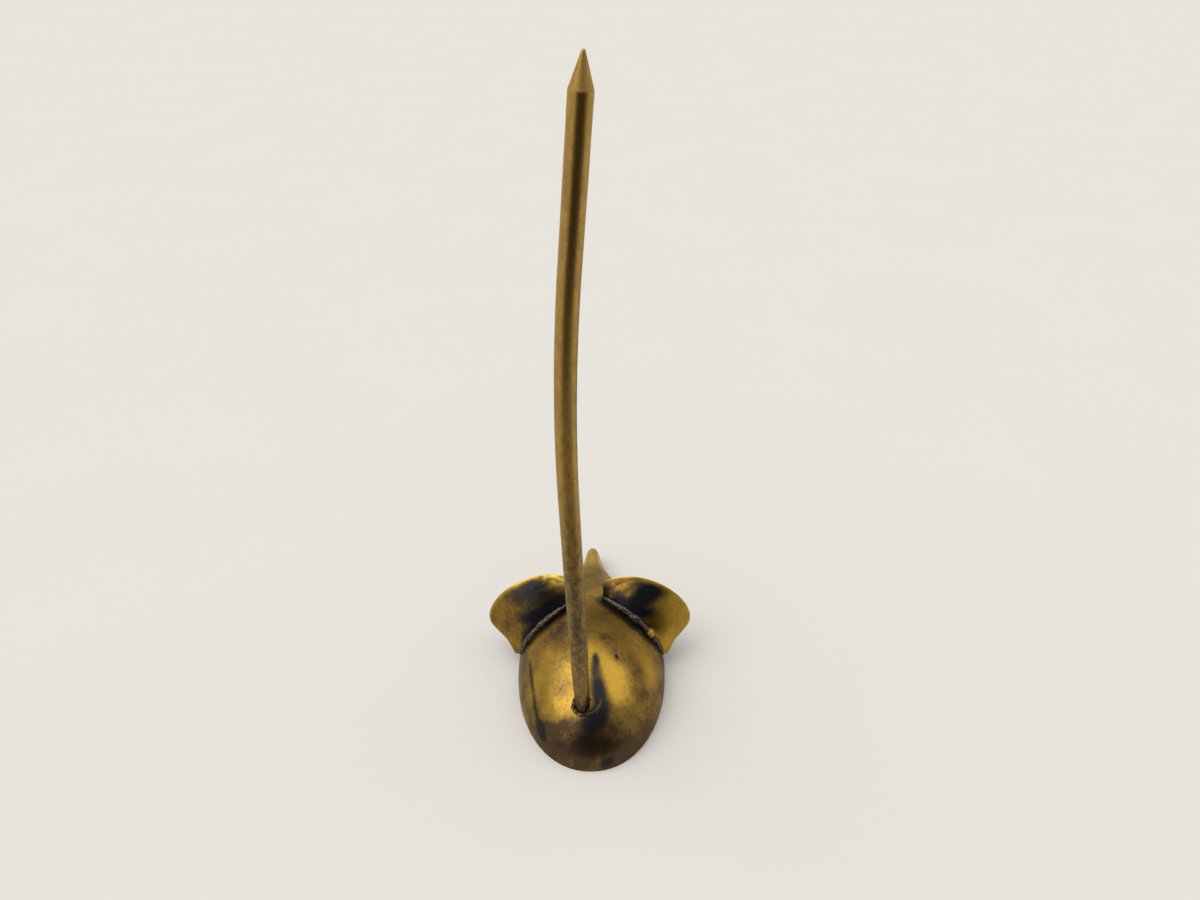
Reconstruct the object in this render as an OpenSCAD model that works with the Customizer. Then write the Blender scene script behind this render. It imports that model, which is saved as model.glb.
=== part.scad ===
// Bill spike in the form of a brass mouse: the tail is the spike that holds the papers.
// Millimetres. +Z is up and +Y points to the nose. The origin is on the table, under the
// middle of the body.

/* [Body] */
// Length from the rump to the tip of the nose
body_length = 73.2; // [66:0.2:82]
// Half of the width at the shoulders
body_half_width = 17.8; // [16.5:0.1:19.5]
// Height of the back at the shoulders
body_height = 16.5; // [15:0.1:18]
// Distance from the rump to the shoulders
shoulder_reach = 31; // [29:0.5:33]
// Fullness of the rump seen from above, where 2 is an ellipse
rump_fullness = 2.1; // [2:0.05:2.5]
// Fullness of the cross-section, where 2 is an ellipse
section_fullness = 2; // [1.9:0.05:2.4]
// Half of the width of the snout, just behind the nose
snout_half_width = 2.1; // [1.8:0.1:2.8]
// Height of the snout, just behind the nose
snout_height = 5.5; // [4.5:0.1:6.5]
// Length of the rounded nose
nose_round = 3; // [2:0.1:4]
// Thickness of the raised sheet
body_wall = 1.1; // [0.8:0.1:1.4]

/* [Ears] */
// Size of the right ear, as a share of the drawn one
ear_share_right = 0.95; // [0.8:0.01:1.1]
// Size of the left ear, a little larger
ear_share_left = 1.03; // [0.8:0.01:1.1]
// Height of the upright inner edge of an ear
ear_inner_edge = 3.2; // [2.6:0.1:4.2]
// Forward curl of the free edge, as a share of its distance from the seam
ear_curl = 0.5; // [0.3:0.05:0.7]
// Distance from the shoulders forward to the lower end of the seam
ear_station = 1; // [0:0.1:1.6]
// How far the upper end of the seam runs forward of the lower end
ear_rake = 8.2; // [7:0.1:9]
// Thickness of the ear sheet
ear_wall = 1; // [0.8:0.1:1.2]

/* [Spike] */
// Diameter of the rod
spike_d = 4; // [3.8:0.1:4.4]
// Diameter of the rod where it enters the body
spike_root_d = 3.3; // [2.8:0.1:3.4]
// Diameter of the rod at the top of its filed neck
spike_neck_d = 3.66; // [3.5:0.02:3.8]
// Height of the point above the table
spike_height = 143.3; // [125:0.1:160]
// Sideways place of the root, left of the middle
spike_offset = 1.8; // [0:0.1:3]
// Distance from the rump to the root
spike_station = 8.7; // [8:0.1:11]
// Lean of the lower stretch to the left, in degrees
lower_lean = 2.1; // [0:0.1:3]
// Turn of the bend back to the right, in degrees
bend_angle = 6.6; // [4:0.1:8]
// Length of the straight lower stretch
lower_length = 53.7; // [45:0.1:58]
// Radius of the bend
bend_radius = 400; // [300:10:450]
// Length of the conical point
point_length = 5.5; // [4:0.1:8]

/* [Solder] */
// Thickness of the bead along an ear
ear_bead_r = 1.1; // [1:0.1:1.3]
// Thickness of the ring around the root of the spike
spike_bead_r = 0.7; // [0.5:0.1:0.9]
// Radius of the blob inside the body
inner_blob_r = 4; // [3.6:0.1:4.4]

/* [Hidden] */

brass = "#b08d3c";
dark_brass = "#8f7434";
solder_grey = "#86806e";

// Counts of rings and of points across the body
rump_rings = 12;
flank_rings = 14;
nose_rings = 5;
body_cols = 32;
// Counts of steps along and across an ear
ear_rows = 24;
ear_cols = 7;
// Counts of sides and of steps of a bead
bead_sides = 10;
bead_steps = 30;

// The hollow stops short of the nose, which is closed
nose_wall = 4;
hollow_end = body_length - nose_wall;

// Section angles of the upper and lower ends of an ear's seam, and how the seam rakes
ear_top_angle = 79;
ear_low_angle = 6;
rake_power = 3.5;
// Guides of an ear's free edge in the plane across the body, from the inner edge over the
// tip to the foot, as shares of the half width and of the height of the body
ear_crown = [0.93, 1.65];
ear_tip = [1.75, 0.455];
ear_under = [1.212, 0.418];
ear_foot = [1.04, 0.218];
ear_end = [1, 0.121];
// Place on the seam where the curve over the tip meets the one to the foot, and its flow past there
ear_join = 0.62;
ear_flow = 0.2;
// Last share of the seam that carries the ear, where it has run out into the flank
ear_run = 0.9;
// Depth of the ear's root below the skin, before it is cut to the skin
ear_root = 1.5;

// The rod's end below the skin, and the plain stretch above it before the taper
tenon_below = 3.6;
tenon_above = 2.4;
neck_length = 9;
root_taper = 38;
point_d = 0.5;
hole_clearance = 0.1;
// How far the cutter for the hole runs on under the rod
hole_run = 2;
// Overlap of the straight stretches on the bend, and how much thinner the bend is
splice = 0.6;
bend_draw = 0.02;

// Stretch of the seam under the bead, and how far the bead sits up the ear and off its back
bead_first = 0.02;
bead_last = 0.88;
bead_up = 0.15;
bead_off = 0.55;
// Three waves of lumps on a bead: their depths and counts, and a phase for each bead
lump_depths = [0.14, 0.1, 0.06];
lump_counts = [4.3, 9.1, 15.7];
right_phase = 20;
left_phase = 75;
ring_phase = 50;
// A bead's thickness at its ends, and how fast it fills out
bead_end_share = 0.45;
bead_fill = 0.4;
// The ring of solder at the root: its distance from the rod, and the angles that it spans
ring_off = 0.4;
ring_from = 20;
ring_to = 330;
// The raised lip on the right of the hole: its angles, drift off the ring, rise and thickness
lip_from = -75;
lip_to = 35;
lip_drift = 2.2;
lip_rise = 0.5;
lip_share = 0.85;
// Depth of the middle of the inside blob below the skin
blob_drop = 1.5;

function lerp(a, b, t) = a + (b - a) * t;
function unit(v) = v / norm(v);
function fall(t) = 0.5 + 0.5 * cos(180 * t);
function cubic(p, t) =
    pow(1 - t, 3) * p[0] + 3 * t * pow(1 - t, 2) * p[1] + 3 * t * t * (1 - t) * p[2] + pow(t, 3) * p[3];

// Rounding of the nose, 1 along the body and 0 at the end
function nose_cap(u, end) =
    u <= end - nose_round ? 1 : sqrt(max(0, 1 - pow((u - end + nose_round) / nose_round, 2)));

// Rise of the rump from its end to the shoulders, on a skin that lies d inside the outer one
function rump_rise(u, d, fullness) =
    pow(1 - pow((shoulder_reach - u) / (shoulder_reach - d), fullness), 1 / fullness);

// A measure of the body at distance u from the rump: full at the shoulders, small at the snout
function taper(u, full, small, d, fullness) =
    u < shoulder_reach
    ? (full - d) * rump_rise(u, d, fullness)
    : lerp(small, full, fall((u - shoulder_reach) / (body_length - shoulder_reach))) - d;
function half_width(u, d, end) =
    taper(u, body_half_width, snout_half_width, d, rump_fullness) * nose_cap(u, end);
function height(u, d, end) =
    taper(u, body_height, snout_height, d, 2) * nose_cap(u, end);

// A point of the skin at distance u, at an angle from the right rim over the back
function skin_point(u, angle, d, end) = [
    half_width(u, d, end) * sign(cos(angle)) * pow(abs(cos(angle)), 2 / section_fullness),
    u - body_length / 2,
    height(u, d, end) * pow(sin(angle), 2 / section_fullness)];
// The point of the outer skin above a place in plan
function on_back(x, u) = [
    x,
    u - body_length / 2,
    height(u, 0, body_length)
    * pow(1 - pow(abs(x) / half_width(u, 0, body_length), section_fullness), 1 / section_fullness)];

function stations(d, end) = concat(
    [for (i = [1 : rump_rings]) lerp(shoulder_reach, d, cos(90 * i / rump_rings))],
    [for (i = [1 : flank_rings]) lerp(shoulder_reach, end - nose_round, i / flank_rings)],
    [for (i = [1 : nose_rings - 1]) end - nose_round * (1 - sin(90 * i / nose_rings))]);
body_rings = rump_rings + flank_rings + nose_rings - 1;
skin_size = body_rings * (body_cols + 1) + 2;

// Points of one skin: the end of the rump, the rings from the right rim to the left, the nose
function skin(d, end) = concat(
    [[0, d - body_length / 2, 0]],
    [for (u = stations(d, end)) for (k = [0 : body_cols]) skin_point(u, 180 * k / body_cols, d, end)],
    [[0, end - body_length / 2, 0]]);
function at(i, k, first = 0) = first + 1 + i * (body_cols + 1) + k;
function rim(side, first) = concat(
    [first],
    [for (i = [0 : body_rings - 1]) at(i, side * body_cols, first)],
    [first + skin_size - 1]);

function skin_faces(first) = concat(
    [for (k = [0 : body_cols - 1]) [first, at(0, k + 1, first), at(0, k, first)]],
    [for (i = [0 : body_rings - 2]) for (k = [0 : body_cols - 1])
        each quad(at(i, k, first), at(i, k + 1, first), at(i + 1, k + 1, first), at(i + 1, k, first))],
    [for (k = [0 : body_cols - 1])
        [first + skin_size - 1, at(body_rings - 1, k, first), at(body_rings - 1, k + 1, first)]]);
function quad(a, b, c, e) = [[a, b, c], [a, c, e]];
function flipped(faces) = [for (f = faces) [f[0], f[2], f[1]]];
// A strip of faces between two lists of points of the same length
function strip(a, b) = [for (i = [0 : len(a) - 2]) each quad(a[i], a[i + 1], b[i + 1], b[i])];

// A solid through rings of points, all of one length, with flat ends
module loft(rings) {
    n = len(rings[0]);
    last = len(rings) - 1;
    polyhedron(
        points = [for (ring = rings) each ring],
        faces = concat(
            [for (i = [0 : last - 1]) for (k = [0 : n - 1])
                let (a = i * n, e = (k + 1) % n)
                each quad(a + k, a + n + k, a + n + e, a + e)],
            [for (k = [1 : n - 2]) [0, k, k + 1]],
            [for (k = [1 : n - 2]) [last * n, last * n + k + 1, last * n + k]]));
}

// A wedge of the body from its middle line out to one skin, between two rings and two columns
module wedge(d, end, first_ring, last_ring, first_col, last_col) {
    places = stations(d, end);
    loft([for (i = [first_ring : last_ring]) concat(
        [[0, places[i] - body_length / 2, 0]],
        [for (k = [last_col : -1 : first_col]) skin_point(places[i], 180 * k / body_cols, d, end)])]);
}

// The right shoulder, which an ear's foot is cut to
module shoulder() {
    wedge(0, body_length, rump_rings - 2, rump_rings + 3, 0, body_cols / 2);
}

// The part of the rump around the spike, outside and inside
module rump(d, end) {
    wedge(d, end, 1, rump_rings - 2, 4, body_cols - 4);
}

// Both skins and the flat rim between them
module shell() {
    polyhedron(
        points = concat(skin(0, body_length), skin(body_wall, hollow_end)),
        faces = concat(
            skin_faces(0),
            flipped(skin_faces(skin_size)),
            strip(rim(0, 0), rim(0, skin_size)),
            flipped(strip(rim(1, 0), rim(1, skin_size)))));
}

// The seam of the right ear, from its upper end at 0 to its lower end at 1
function seam_angle(s) = lerp(ear_top_angle, ear_low_angle, s);
function seam_point(s) =
    skin_point(shoulder_reach + ear_station + ear_rake * pow(1 - s, rake_power), seam_angle(s), 0, body_length);
// The free edge of the drawn ear, across the body, at the same place along the seam
function guide(share) = [share[0] * body_half_width, share[1] * body_height];
function ear_edge(s) =
    let (inner = seam_point(0), tip = guide(ear_tip), under = guide(ear_under))
    s < ear_join
    ? cubic([[inner[0], inner[2] + ear_inner_edge], guide(ear_crown), tip, under], s / ear_join)
    : cubic([under, lerp(tip, under, 1 + ear_flow), guide(ear_foot), guide(ear_end)],
        (s - ear_join) / (1 - ear_join));
// The way from the seam to the free edge, across the body
function ear_way(s) =
    let (seam = seam_point(s), edge = ear_edge(s))
    [edge[0] - seam[0], 0, edge[1] - seam[2]];
// A point of the ear's middle at a share r of that way, curled forward
function ear_point(s, r, share) =
    let (way = share * ear_way(s))
    seam_point(s) + r * way + [0, ear_curl * r * r * norm(way), 0];
// The direction square to the ear's back, to the rear
function ear_normal(s, r, share) =
    let (ds = 0.01, dr = 0.05)
    unit(cross(
        ear_point(s + ds, r, share) - ear_point(max(0, s - ds), r, share),
        ear_point(s, r + dr, share) - ear_point(s, r - dr, share)));
function ear_row(s, side, share) = concat(
    [seam_point(s) - ear_root * unit(ear_way(s)) + side * ear_wall / 2 * ear_normal(s, 0, share)],
    [for (j = [0 : ear_cols])
        ear_point(s, j / ear_cols, share) + side * ear_wall / 2 * ear_normal(s, j / ear_cols, share)]);
function ear_side(side, share) =
    [for (i = [0 : ear_rows]) each ear_row(ear_run * i / ear_rows, side, share)];

// A curved sheet from its back and front points, in rows of the same length
module sheet(back, front, rows, cols) {
    n = len(back);
    faces = [for (i = [0 : rows - 1]) for (j = [0 : cols - 1])
        each quad(i * (cols + 1) + j, i * (cols + 1) + j + 1,
            (i + 1) * (cols + 1) + j + 1, (i + 1) * (cols + 1) + j)];
    border = concat(
        [for (j = [0 : cols]) j],
        [for (i = [1 : rows]) i * (cols + 1) + cols],
        [for (j = [1 : cols]) rows * (cols + 1) + cols - j],
        [for (i = [1 : rows]) (rows - i) * (cols + 1)]);
    polyhedron(
        points = concat(back, front),
        faces = concat(
            faces,
            [for (f = flipped(faces)) [f[0] + n, f[1] + n, f[2] + n]],
            flipped(strip(border, [for (p = border) p + n]))));
}

module ear_sheet(share) {
    sheet(ear_side(1, share), ear_side(-1, share), ear_rows, ear_cols + 1);
}

// A lumpy bead of solder along a path, with a radius at each of its points
module bead(path, radii, across) {
    last = len(path) - 1;
    loft([for (i = [0 : last])
        let (along = unit(path[min(i + 1, last)] - path[max(i - 1, 0)]),
            a = unit(cross(across, along)),
            b = cross(along, a))
        [for (k = [0 : bead_sides - 1])
            path[i] + radii[i] * (cos(360 * k / bead_sides) * a + sin(360 * k / bead_sides) * b)]]);
}

bead_places = [for (i = [0 : bead_steps]) i / bead_steps];
function wave(i, t, phase) = lump_depths[i] * sin(360 * lump_counts[i] * t + i * phase);
function lumps(t, phase) = 1 + wave(0, t, phase) + wave(1, t, phase) + wave(2, t, phase);
// Thinning of a bead towards both of its ends
function ends(t) = lerp(bead_end_share, 1, pow(sin(180 * t), bead_fill));

module ear_bead(share, phase) {
    bead(
        [for (t = bead_places)
            let (s = lerp(bead_first, bead_last, t))
            seam_point(s) + bead_up * ear_bead_r * unit(ear_way(s))
            + (ear_wall / 2 + bead_off * ear_bead_r) * ear_normal(s, 0, share)],
        [for (t = bead_places) ear_bead_r * ends(t) * lumps(t, phase)],
        [0, 1, 0]);
}

// The root of the spike on the back
root = on_back(-spike_offset, spike_station);

module at_root() {
    translate(root) rotate([0, -lower_lean, 0]) children();
}

bend_rise = bend_radius * sin(bend_angle);
bend_side = bend_radius * (1 - cos(bend_angle));
// Height that the root, the lower stretch and the bend reach, which leaves the upper stretch
bend_top = root[2] + (lower_length + bend_rise) * cos(lower_lean) + bend_side * sin(lower_lean);
upper_length = (spike_height - bend_top) / cos(bend_angle - lower_lean) - point_length;

module tenon(d, below, above) {
    at_root() translate([0, 0, -below]) cylinder(d = d, h = below + above, $fn = 48);
}

module body_shell() {
    color(brass)
    difference() {
        shell();
        tenon(spike_root_d + hole_clearance, tenon_below + hole_run, tenon_below);
    }
}

module ear(share) {
    color(brass)
    difference() {
        ear_sheet(share);
        shoulder();
    }
}

module ear_right() {
    ear(ear_share_right);
}

module ear_left() {
    mirror([1, 0, 0]) ear(ear_share_left);
}

// A round rod along +Z from its outline, given as pairs of radius and height
module rod(outline) {
    rotate_extrude($fn = 48)
    polygon(concat([[0, outline[0][1]]], outline, [[0, outline[len(outline) - 1][1]]]));
}

module tail_spike() {
    r = spike_d / 2;
    root_r = spike_root_d / 2;
    color(dark_brass)
    at_root() {
        rod([[root_r, -tenon_below], [root_r, tenon_above], [spike_neck_d / 2, neck_length],
            [r, root_taper], [r, lower_length + splice]]);
        // The bend is drawn a hair thinner than the straight stretches
        translate([bend_radius, 0, lower_length])
            rotate([90, 0, 0])
            rotate_extrude(angle = bend_angle, start = 180 - bend_angle, $fn = 720)
            translate([bend_radius, 0])
            circle(r = r - bend_draw, $fn = 48);
        translate([bend_side, 0, lower_length + bend_rise])
            rotate([0, bend_angle, 0])
            rod([[r, -splice], [r, upper_length], [point_d / 2, upper_length + point_length]]);
    }
}

module ear_solder(share, phase) {
    color(solder_grey)
    difference() {
        ear_bead(share, phase);
        shoulder();
        ear_sheet(share);
    }
}

module ear_solder_right() {
    ear_solder(ear_share_right, right_phase);
}

module ear_solder_left() {
    mirror([1, 0, 0]) ear_solder(ear_share_left, left_phase);
}

// A path on the back around the root: turned from one angle to another, drifting out and rising
function around_root(from, to, drift, rise) = [for (t = bead_places)
    let (turn = lerp(from, to, t), out = spike_root_d / 2 + ring_off * spike_bead_r + drift * t)
    on_back(root[0] + out * cos(turn), spike_station + out * sin(turn)) + [0, 0, rise * t]];

module spike_solder() {
    color(solder_grey)
    difference() {
        union() {
            bead(around_root(ring_from, ring_to, 0, 0),
                [for (t = bead_places) spike_bead_r * ends(t) * lumps(t, ring_phase)], [0, 0, 1]);
            bead(around_root(lip_from, lip_to, lip_drift, lip_rise),
                [for (t = bead_places) lip_share * spike_bead_r * ends(t)], [0, 0, 1]);
        }
        rump(0, body_length);
        tenon(spike_root_d, tenon_below, tenon_above);
    }
}

module spike_solder_inside() {
    color(solder_grey)
    difference() {
        intersection() {
            at_root() translate([0, 0, -blob_drop]) sphere(r = inner_blob_r, $fn = 48);
            rump(body_wall, hollow_end);
        }
        tenon(spike_root_d, tenon_below, tenon_above);
    }
}

body_shell();
ear_right();
ear_left();
tail_spike();
ear_solder_right();
ear_solder_left();
spike_solder();
spike_solder_inside();
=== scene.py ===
"""Looks of a bill spike in the form of a brass mouse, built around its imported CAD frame.

All sizes are in millimetres until a mesh is finished. +Z is up and +Y points to the nose.
"""

import logging
import math
from dataclasses import dataclass
from enum import Enum
from typing import Any, Callable, Sequence

import bmesh
import bpy
from mathutils import Matrix, Vector, noise


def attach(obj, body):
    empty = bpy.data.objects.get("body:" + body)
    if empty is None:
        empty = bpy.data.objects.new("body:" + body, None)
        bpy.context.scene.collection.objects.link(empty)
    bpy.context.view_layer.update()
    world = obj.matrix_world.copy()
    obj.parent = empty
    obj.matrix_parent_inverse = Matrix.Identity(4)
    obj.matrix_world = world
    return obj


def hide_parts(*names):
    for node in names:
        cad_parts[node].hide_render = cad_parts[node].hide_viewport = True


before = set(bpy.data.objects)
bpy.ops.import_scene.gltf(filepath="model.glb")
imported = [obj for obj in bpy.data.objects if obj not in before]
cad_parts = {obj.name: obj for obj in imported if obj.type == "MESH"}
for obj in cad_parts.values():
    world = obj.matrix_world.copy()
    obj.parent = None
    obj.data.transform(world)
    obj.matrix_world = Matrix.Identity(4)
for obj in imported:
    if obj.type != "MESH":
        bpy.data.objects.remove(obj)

log = logging.getLogger("bill_spike")

MM = 0.001
BODY = "root"
Triple = tuple[float, float, float]
RGB = Triple
Pair = tuple[float, float]
Socket = bpy.types.NodeSocket
Material = bpy.types.Material
Mesh = bmesh.types.BMesh
Vert = bmesh.types.BMVert
Edge = bmesh.types.BMEdge
NOISE_MIDDLE = 0.5
TINY = 1e-5


def lerp(a: Any, b: Any, t: float) -> Any:
    """Return the value at share t of the way from a to b."""
    return a + (b - a) * t


def smoothstep(low: float, high: float, value: float) -> float:
    """Return 0 at low, 1 at high and a smooth rise between them; low may lie above high."""
    t = min(1.0, max(0.0, (value - low) / (high - low)))
    return t * t * (3.0 - 2.0 * t)


def bump(distance: float, reach: float) -> float:
    """Return a round hump that is 1 at no distance and fades out over its reach."""
    return math.exp(-((distance / reach) ** 2))


@dataclass(frozen=True)
class Rise:
    """A smooth rise from nothing at low to an amount at high; low may lie above high."""

    amount: float
    low: float
    high: float

    def at(self, value: float) -> float:
        """Return what the rise has reached at a value."""
        return self.amount * smoothstep(self.low, self.high, value)


@dataclass(frozen=True)
class Lumps:
    """Smooth random lumps of a height and a size in millimetres; the seed gives each use its own."""

    height: float
    grain: float
    seed: float

    def at(self, place: Vector, shift: float = 0.0) -> float:
        """Return the height of the lumps at a point, with their seed shifted."""
        seed = self.seed + shift
        return self.height * noise.noise(place / self.grain + Vector((seed, -seed, 2.0 * seed)))


class Side(Enum):
    """The two sides of the mouse, as signs of X."""

    RIGHT = 1
    LEFT = -1


class Slot(Enum):
    """The finish slots of the record."""

    BODY = "body_brass"
    EAR = "ear_brass"
    SPIKE = "spike_brass"
    SOLDER = "solder"


# Finishes


class Graph:
    """A node tree that is written node by node."""

    def __init__(self, tree: bpy.types.NodeTree) -> None:
        """Clear the node tree of a material or a world and keep it."""
        self.tree = tree
        tree.nodes.clear()

    def add(self, kind: str, inputs: dict[Any, Any] | None = None, **settings: Any) -> bpy.types.Node:
        """Add one node.

        Args:
            kind: Blender's name of the node type, without the leading ShaderNode.
            inputs: Socket name or number to a value, or to the socket that feeds it.
            settings: Properties of the node itself.

        Returns:
            The new node.
        """
        node = self.tree.nodes.new("ShaderNode" + kind)
        for name, value in settings.items():
            setattr(node, name, value)
        for name, value in (inputs or {}).items():
            if isinstance(value, Socket):
                self.tree.links.new(value, node.inputs[name])
            else:
                node.inputs[name].default_value = value
        return node

    def noise(self, vector: Socket, grain: float, detail: float = 4.0) -> Socket:
        """Return noise over places in metres, in lumps of a grain in millimetres, 0.5 on average."""
        sockets = {"Vector": vector, "Scale": 1.0 / (grain * MM), "Detail": detail}
        return self.add("TexNoise", sockets).outputs["Fac"]

    def mark(self, name: str) -> Socket:
        """Read one mark of the mesh."""
        return self.add("Attribute", attribute_name=name).outputs["Fac"]

    def math(self, operation: str, a: Any, b: Any = 0.0, c: Any = 0.0, clamp: bool = False) -> Socket:
        """Add one calculation with up to three numbers or sockets and return its result."""
        return self.add("Math", {0: a, 1: b, 2: c}, operation=operation, use_clamp=clamp).outputs[0]

    def relief(self, height: Socket, depth: float) -> Socket:
        """Turn a height into a bumpy normal of a depth in millimetres and return it."""
        return self.add("Bump", {"Strength": 1.0, "Distance": depth * MM, "Height": height}).outputs[0]

    def ramp(self, value: Socket, low: float, high: float, to_low: float = 0.0,
             to_high: float = 1.0) -> Socket:
        """Return a smooth rise from to_low, where the value is low, to to_high, where it is high."""
        sockets = {"Value": value, "From Min": low, "From Max": high, "To Min": to_low, "To Max": to_high}
        return self.add("MapRange", sockets, interpolation_type="SMOOTHSTEP").outputs[0]

    def mix(self, share: Any, a: Any, b: Any) -> Socket:
        """Return the mix of two colours or sockets: a share of 0 gives a and 1 gives b."""
        sockets = {0: share, 6: self.colour(a), 7: self.colour(b)}
        return self.add("Mix", sockets, data_type="RGBA").outputs[2]

    @staticmethod
    def colour(value: Any) -> Any:
        """Return a colour with its alpha, or a socket as it is."""
        return value if isinstance(value, Socket) else (*value, 1.0)


def new_material(name: str) -> tuple[Material, Graph]:
    """Make a material.

    Args:
        name: Name of the material.

    Returns:
        The new material and its empty graph.
    """
    made = bpy.data.materials.new(name)
    made.use_nodes = True
    return made, Graph(made.node_tree)


@dataclass(frozen=True)
class BrassFinish:
    """Old brass: clean metal, brown tarnish, dark oxide with painted shade and painted dark reflections, and
    painted highlights, mixed by marks on the mesh.

    A grain is the size of one lump of noise in millimetres, and a span is where an effect rises.
    """

    name: str
    clean: RGB
    brown: RGB
    oxide_and_shade: RGB
    roughness: float
    # Colour of the painted highlights and painted pale reflections.
    bright: RGB = (0.86, 0.6, 0.12)
    edge: RGB = (0.92, 0.83, 0.64)
    mottle: float = 0.45
    mottle_grain: float = 5.0
    mottle_span: Pair = (0.3, 0.72)
    mottle_shift: float = -0.35
    speck: float = 0.25
    speck_grain: float = 0.55
    speck_span: Pair = (0.52, 0.72)
    fine_share: float = 0.3
    fleck: float = 0.09
    fleck_grain: float = 1.1
    fleck_span: Pair = (0.36, 0.7)
    fleck_low: float = -0.5
    clean_share: float = 0.5
    line_stretch: float = 1.0
    stain_wander: float = 0.7
    stain_fray: float = 0.22
    stain_span: Pair = (0.05, 0.95)
    dulling: float = 0.16
    unevenness: float = 0.12
    relief: float = 0.006
    fine_relief: float = 0.5
    film: float = 0.06
    film_roughness: float = 0.24
    film_ior: float = 1.5

    def browned(self, graph: Graph, cloud: Socket, speck: Socket, fleck: Socket) -> Socket:
        """Spread the tarnish: it gathers in clouds, and its borders break up into specks.

        Args:
            graph: Graph of the material.
            cloud: Slow noise.
            speck: Fine noise.
            fleck: Noise of the flecks that lie all over.

        Returns:
            The share of brown.
        """
        tarnish = graph.mark("tarnish")
        cloudy = graph.math("MULTIPLY_ADD", graph.ramp(cloud, *self.mottle_span), self.mottle,
                            self.mottle_shift * self.mottle)
        specked = graph.math("MULTIPLY", graph.ramp(speck, *self.speck_span), self.speck)
        strength = graph.math("ADD", tarnish, self.clean_share)
        patchy = graph.math("MULTIPLY", graph.math("ADD", cloudy, specked), strength)
        flecks = graph.ramp(fleck, *self.fleck_span, self.fleck_low * self.fleck, self.fleck)
        return graph.math("ADD", tarnish, graph.math("ADD", patchy, flecks), clamp=True)

    def darkened(self, graph: Graph, cloud: Socket, speck: Socket) -> Socket:
        """Spread the dark oxide, painted shade and painted dark reflections, with borders that wander and
        fray.

        Args:
            graph: Graph of the material.
            cloud: Slow noise.
            speck: Fine noise.

        Returns:
            The share of dark oxide, painted shade and painted dark reflections.
        """
        wander = graph.math("MULTIPLY", graph.math("SUBTRACT", cloud, NOISE_MIDDLE), self.stain_wander)
        fray = graph.math("MULTIPLY", graph.math("SUBTRACT", speck, NOISE_MIDDLE), self.stain_fray)
        frayed = graph.math("ADD", graph.mark("stain_and_shade"), graph.math("ADD", wander, fray))
        return graph.ramp(frayed, *self.stain_span)

    def material(self) -> Material:
        """Build the material.

        Returns:
            A metal whose colour follows the mesh's marks of tarnish, of stain and painted shade, and of
            painted highlight.
        """
        made, graph = new_material(self.name)
        place = graph.add("TexCoord").outputs["Object"]
        drawn = graph.add("Mapping", {"Vector": place, "Scale": (1.0, 1.0, self.line_stretch)}).outputs[0]
        cloud = graph.noise(drawn, self.mottle_grain, detail=5.0)
        speck = graph.noise(drawn, self.speck_grain, detail=3.0)
        fine = graph.noise(drawn, self.fine_share * self.speck_grain, detail=2.0)
        browned = self.browned(graph, cloud, speck, graph.noise(drawn, self.fleck_grain))
        base = graph.mix(browned, self.clean, self.brown)
        # Painted highlight: bright brass where the mesh is marked.
        base = graph.mix(graph.mark("painted_highlight"), base, self.bright)
        # Dark oxide, painted shade and painted dark reflections where the mesh is marked.
        base = graph.mix(self.darkened(graph, cloud, speck), base, self.oxide_and_shade)
        dull = graph.math("MULTIPLY_ADD", browned, self.dulling, self.roughness)
        uneven = graph.math("MULTIPLY", graph.math("SUBTRACT", fine, NOISE_MIDDLE), self.unevenness)
        height = graph.math("ADD", speck, graph.math("MULTIPLY", fine, self.fine_relief))
        normal = graph.relief(height, self.relief)
        shader = graph.add("BsdfPrincipled", {
            "Base Color": base, "Metallic": 1.0, "Roughness": graph.math("ADD", dull, uneven),
            "Normal": normal, "Specular Tint": graph.colour(self.edge), "Coat Weight": self.film,
            "Coat Roughness": self.film_roughness, "Coat IOR": self.film_ior, "Coat Normal": normal})
        graph.add("OutputMaterial", {"Surface": shader.outputs[0]})
        return made


@dataclass(frozen=True)
class SolderFinish:
    """Old soft solder: dull grey, pitted, with brown in its hollows."""

    name: str
    grey: RGB = (0.135, 0.117, 0.08)
    dark: RGB = (0.035, 0.028, 0.02)
    brass: RGB = (0.52, 0.32, 0.06)
    metallic: float = 0.85
    roughness: float = 0.36
    pit_dulling: float = 0.25
    grain: float = 0.5
    grey_span: Pair = (0.36, 0.6)
    pit_share: float = 0.35
    relief: float = 0.06
    pit_relief: float = 0.6

    def material(self) -> Material:
        """Build the material.

        Returns:
            A dull metal with fine pits, and bare brass where the mesh has the mark "bright".
        """
        made, graph = new_material(self.name)
        place = graph.add("TexCoord").outputs["Object"]
        lumps = graph.noise(place, self.grain, detail=5.0)
        pits = graph.noise(place, self.pit_share * self.grain, detail=3.0)
        base = graph.mix(graph.ramp(lumps, *self.grey_span), self.dark, self.grey)
        base = graph.mix(graph.mark("bright"), base, self.brass)
        gloss = graph.math("MULTIPLY_ADD", pits, self.pit_dulling, self.roughness)
        height = graph.math("ADD", lumps, graph.math("MULTIPLY", pits, self.pit_relief))
        shader = graph.add("BsdfPrincipled", {
            "Base Color": base, "Metallic": self.metallic, "Roughness": gloss,
            "Normal": graph.relief(height, self.relief)})
        graph.add("OutputMaterial", {"Surface": shader.outputs[0]})
        return made


# Meshes


Mark = Callable[[Vector], float]


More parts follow.
